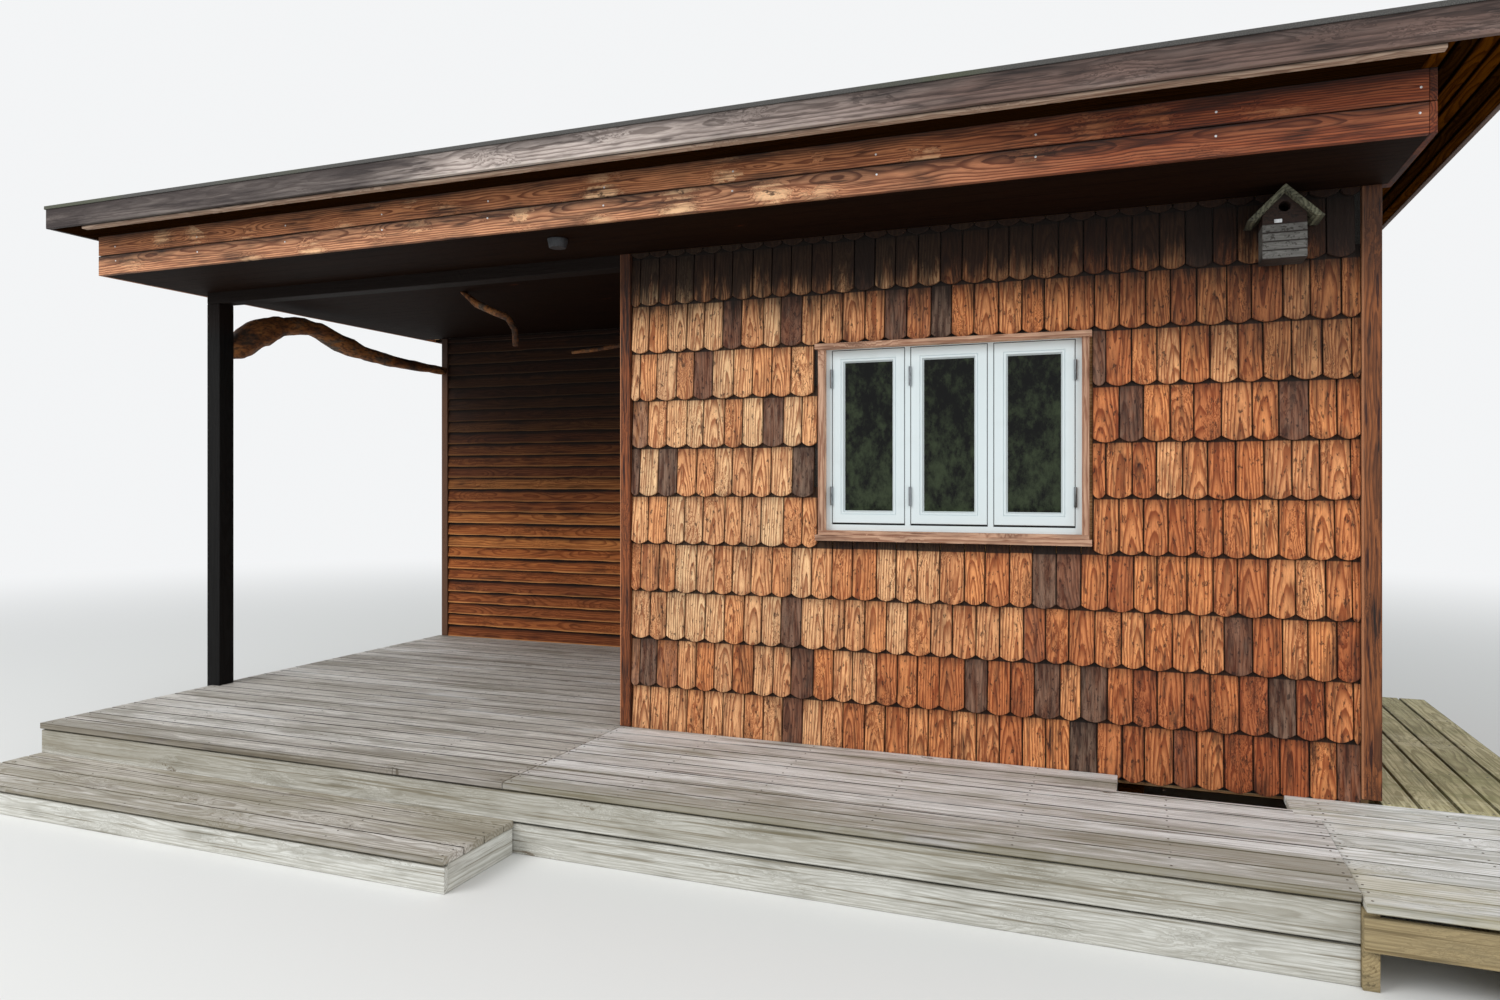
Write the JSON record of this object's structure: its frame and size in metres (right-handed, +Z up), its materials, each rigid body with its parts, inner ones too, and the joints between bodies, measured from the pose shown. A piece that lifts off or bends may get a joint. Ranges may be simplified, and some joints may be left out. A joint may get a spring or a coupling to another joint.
{
  "type": "wooden garden hut with covered porch",
  "caption": "Flat-roofed timber garden hut clad in rounded shingles, with a joined casement window, a covered porch beside it and plank decks around it.",
  "frame": {"origin": "on the ground, at the middle of the box around the whole building", "axes": "+X to the right along the shingled front, +Y from the front to the back, +Z up"},
  "size_m": [6.85, 4.44, 2.929],
  "materials": {
    "shingle": "oiled shingles, charred in places",
    "lap_board": "brown stained boards",
    "brown_board": "brown stained planed boards with knots",
    "grey_board": "weathered grey-brown boards",
    "soffit_board": "dark brown boards",
    "dark_stain": "near-black stained timber",
    "deck_timber": "silver-grey weathered deck boards",
    "plain_board": "plain sawn timber",
    "bare_limb": "peeled crooked limb",
    "white_paint": "white painted joinery",
    "window_glass": "clear glass over a dark room",
    "hinge_steel": "dull zinc hinges",
    "lamp_shell": "matt grey shell",
    "roof_felt": "mineral roofing felt"
  },
  "bodies": {
    "root": {"floor_bearers": "deck_timber", "hut_floor": "plain_board", "front_wall": "plain_board", "back_wall": "plain_board", "left_wall": "plain_board", "right_wall": "plain_board", "porch_back_wall": "plain_board", "front_shingles": "shingle", "right_shingles": "shingle", "left_cladding": "lap_board", "back_cladding": "lap_board", "porch_cladding": "lap_board", "corner_boards": "brown_board", "window_casing": "brown_board", "window_frame": "white_paint", "window_sash_left": "white_paint", "window_sash_middle": "white_paint", "window_sash_right": "white_paint", "window_glass": "window_glass", "window_hinges": "hinge_steel", "door_frame": "white_paint", "door_leaf": "lap_board", "porch_post": "dark_stain", "porch_beam": "dark_stain", "roof_joists": "plain_board", "hut_ceiling": "plain_board", "soffit_boards": "soffit_board", "lower_fascia": "brown_board", "eave_boards": "soffit_board", "upper_fascia": "grey_board", "roof_slab": "plain_board", "roof_felt": "roof_felt", "drip_batten": "grey_board", "nest_box": "grey_board", "nest_box_roof": "grey_board", "eave_lamp": "lamp_shell", "branch_tie": "bare_limb", "ceiling_branches": "bare_limb", "terrace_boards": "deck_timber", "walkway_boards": "deck_timber", "right_deck_boards": "deck_timber", "side_deck_boards": "deck_timber", "step_boards": "deck_timber", "deck_joists": "deck_timber", "deck_risers": "deck_timber"}
  },
  "joints": []
}
